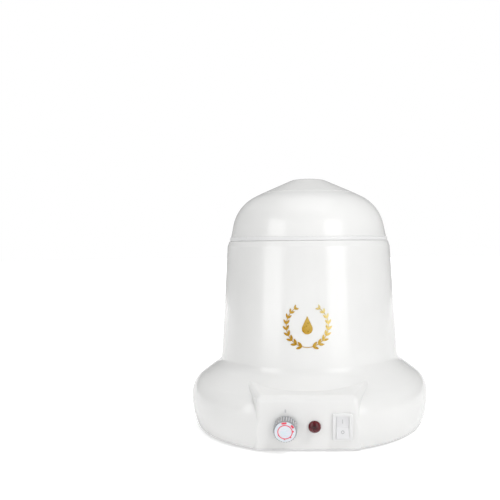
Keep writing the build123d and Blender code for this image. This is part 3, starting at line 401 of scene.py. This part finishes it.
# for each of the record's material slots, what makes its Shader from the slot's name
MATERIALS = {
    "white_shell": white_shell,
    "white_trim": lambda name: moulded_plastic(name, TRIM_WHITE, 0.3),
    "base_grey": lambda name: moulded_plastic(name, PLATE_GREY, 0.55, grain=60, grain_scale=1500.0),
    "foot_rubber": foot_rubber,
    "screw_steel": lambda name: metal(name, SCREW_STEEL, 0.28),
    "well_aluminium": lambda name: spun_metal(name, WELL_ALUMINIUM, 0.36),
    "pot_aluminium": lambda name: spun_metal(name, POT_ALUMINIUM, 0.24),
    "bail_steel": lambda name: metal(name, WIRE_STEEL, 0.18),
    "band_mica": lambda name: metal(name, MICA, 0.42, scratch=(1.0, 1.0, 14.0)),
    "glass_wool": glass_wool,
    "phenolic": phenolic,
    "brass_plated": lambda name: metal(name, BRASS, 0.3),
    "pin_nickel": lambda name: metal(name, NICKEL, 0.15, scratch=(0.1, 1.0, 1.0)),
    "knob_translucent": knob_translucent,
    "scale_red": lambda name: print_ink(name, SCALE_RED, SCALE_RED_WORN),
    "index_grey": lambda name: print_ink(name, INDEX_GREY, INDEX_GREY_WORN),
    "lens_red": lens_red,
    "neon_glass": neon_glass,
    "switch_white": lambda name: moulded_plastic(name, SWITCH_WHITE, 0.28, grain=15, grain_scale=1500.0),
    "rocker_white": lambda name: moulded_plastic(name, ROCKER_WHITE, 0.3, grain=15, grain_scale=1500.0),
    "mark_grey": lambda name: print_ink(name, MARK_GREY, MARK_GREY_WORN),
    "cord_pvc": cord_pvc,
    "tie_grey": lambda name: moulded_plastic(name, STRAP_BLACK, 0.6, grain=100),
    "wire_pvc": wire_pvc,
    "gold_foil": gold_foil,
}


def dress_cad_nodes():
    """Give every CAD node its slot's procedural material."""
    made = {slot: build(slot).material for slot, build in MATERIALS.items()}
    for node, obj in NODES.items():
        material = made[SLOT_OF[node]]
        if not obj.material_slots:
            obj.data.materials.append(material)
        for material_slot in obj.material_slots:
            material_slot.material = material


# ---------------------------------------------------------------- studio

CAMERA_DISTANCE = 0.524          # from the bell's axis
CAMERA_HEIGHT = 0.154
CAMERA_AZIMUTH = math.radians(1.2)
FOCAL_LENGTH = 1.166             # in image widths
AXIS_RIGHT_OF_CENTRE = 0.1172    # in image widths
HORIZON_ABOVE_CENTRE = 0.012     # in image widths
CAMERA_ROLL = math.radians(-0.5)
SENSOR = 36.0                    # mm; it only turns the focal length into a lens
AMBIENT = 0.34                   # surround as a lamp; the camera itself sees plain white
LAMP_TARGET = Vector((0, 0, 0.1))
FLOOR_RADIUS = 6.0
GLOW_SPREAD = (0.2, 2.2)         # the floor's glow grows to full between these radii
FLOOR_GLOW = 0.30                # near the object, to the camera
FLOOR_FILL = 0.12                # what the glow adds to the light on the object


def add_camera():
    """Nearly level camera in front, shifted so the bell stands right of the middle as in a shop picture."""
    data = bpy.data.cameras.new("camera")
    data.sensor_width = SENSOR
    data.lens = FOCAL_LENGTH * SENSOR
    data.shift_x = -AXIS_RIGHT_OF_CENTRE
    data.shift_y = -HORIZON_ABOVE_CENTRE
    data.clip_start = 0.01
    camera = bpy.data.objects.new("camera", data)
    bpy.context.scene.collection.objects.link(camera)
    turn = Matrix.Rotation(CAMERA_AZIMUTH, 4, "Z")
    place = turn @ Vector((0, -CAMERA_DISTANCE, CAMERA_HEIGHT))
    look = turn @ Matrix.Rotation(math.pi / 2, 4, "X")
    camera.matrix_world = Matrix.Translation(place) @ look @ Matrix.Rotation(CAMERA_ROLL, 4, "Z")
    bpy.context.scene.camera = camera


def softbox(name, direction, distance, size, power, mirrored=True):
    """Rectangular lamp that faces the middle of the body.

    The direction is its azimuth, 0 on the camera's side, and its elevation in degrees. The size is its
    width and height. A lamp that isn't mirrored leaves no hard outline of itself in the gloss.
    """
    across, up = map(math.radians, direction)
    away = Vector((math.sin(across) * math.cos(up), -math.cos(across) * math.cos(up), math.sin(up)))
    data = bpy.data.lights.new(name, "AREA")
    data.shape = "RECTANGLE"
    data.size, data.size_y = size
    data.energy = power
    lamp = bpy.data.objects.new(name, data)
    lamp.location = LAMP_TARGET + away * distance
    lamp.rotation_euler = away.to_track_quat("Z", "Y").to_euler()
    lamp.visible_glossy = mirrored
    bpy.context.scene.collection.objects.link(lamp)


def add_lights():
    """Two tall walls that leave the soft bands on the bell, and plain fill from above and behind."""
    softbox("left_wall", direction=(-47, 10), distance=1.3, size=(0.6, 1.1), power=4.2)
    softbox("right_wall", direction=(38, 10), distance=1.3, size=(0.6, 1.1), power=4.2)
    softbox("key", direction=(42, 52), distance=1.2, size=(0.35, 0.35), power=4.8, mirrored=False)
    softbox("overhead", direction=(0, 82), distance=1.4, size=(1.2, 1.2), power=2.6)
    softbox("back_left", direction=(-135, 22), distance=1.5, size=(0.7, 1.0), power=6.4, mirrored=False)
    softbox("back_right", direction=(150, 22), distance=1.5, size=(0.7, 1.0), power=5.2, mirrored=False)


def add_world():
    """White surround: full white to the camera, dimmer where it lights the object."""
    world = bpy.data.worlds.new("studio")
    world.use_nodes = True
    tree = world.node_tree
    background = tree.nodes["Background"]
    background.inputs["Color"].default_value = (*WHITE, 1.0)
    seen = tree.nodes.new("ShaderNodeLightPath")
    strength = tree.nodes.new("ShaderNodeMapRange")
    strength.inputs["To Min"].default_value = AMBIENT
    strength.inputs["To Max"].default_value = 1.0
    tree.links.new(seen.outputs["Is Camera Ray"], strength.inputs["Value"])
    tree.links.new(strength.outputs["Result"], background.inputs["Strength"])
    bpy.context.scene.world = world


def add_floor():
    """Pale paper disc, wide enough that its rim melts into the white surround."""
    mesh = bmesh.new()
    bmesh.ops.create_circle(mesh, cap_ends=True, radius=FLOOR_RADIUS, segments=96)
    data = bpy.data.meshes.new("paper_floor")
    mesh.to_mesh(data)
    mesh.free()
    floor = bpy.data.objects.new("paper_floor", data)
    bpy.context.scene.collection.objects.link(floor)
    s = Shader("paper")
    s.put("Base Color", s.ramp(s.noise(12.0, 4.0), [(0.3, PAPER_DARK), (0.7, PAPER_LIGHT)]))
    s.put("Roughness", 0.9)
    s.put("Specular IOR Level", 0.1)
    s.put("Emission Color", WHITE)
    # the far paper gets less from the lamps, so to the camera it glows a little more
    away = s.radius_from(*BELL_AXIS)
    seen = s.add("ShaderNodeLightPath").outputs["Is Camera Ray"]
    glow = s.span(away, FLOOR_GLOW, 1.0, *GLOW_SPREAD)
    s.put("Emission Strength", s.math("ADD", s.math("MULTIPLY", glow, seen), FLOOR_FILL))
    s.bump(s.noise(300.0, 4.0), 50)
    data.materials.append(s.material)


dress_cad_nodes()
add_camera()
add_lights()
add_world()
add_floor()
bpy.context.scene.view_settings.view_transform = "Standard"

bpy.context.view_layer.update()
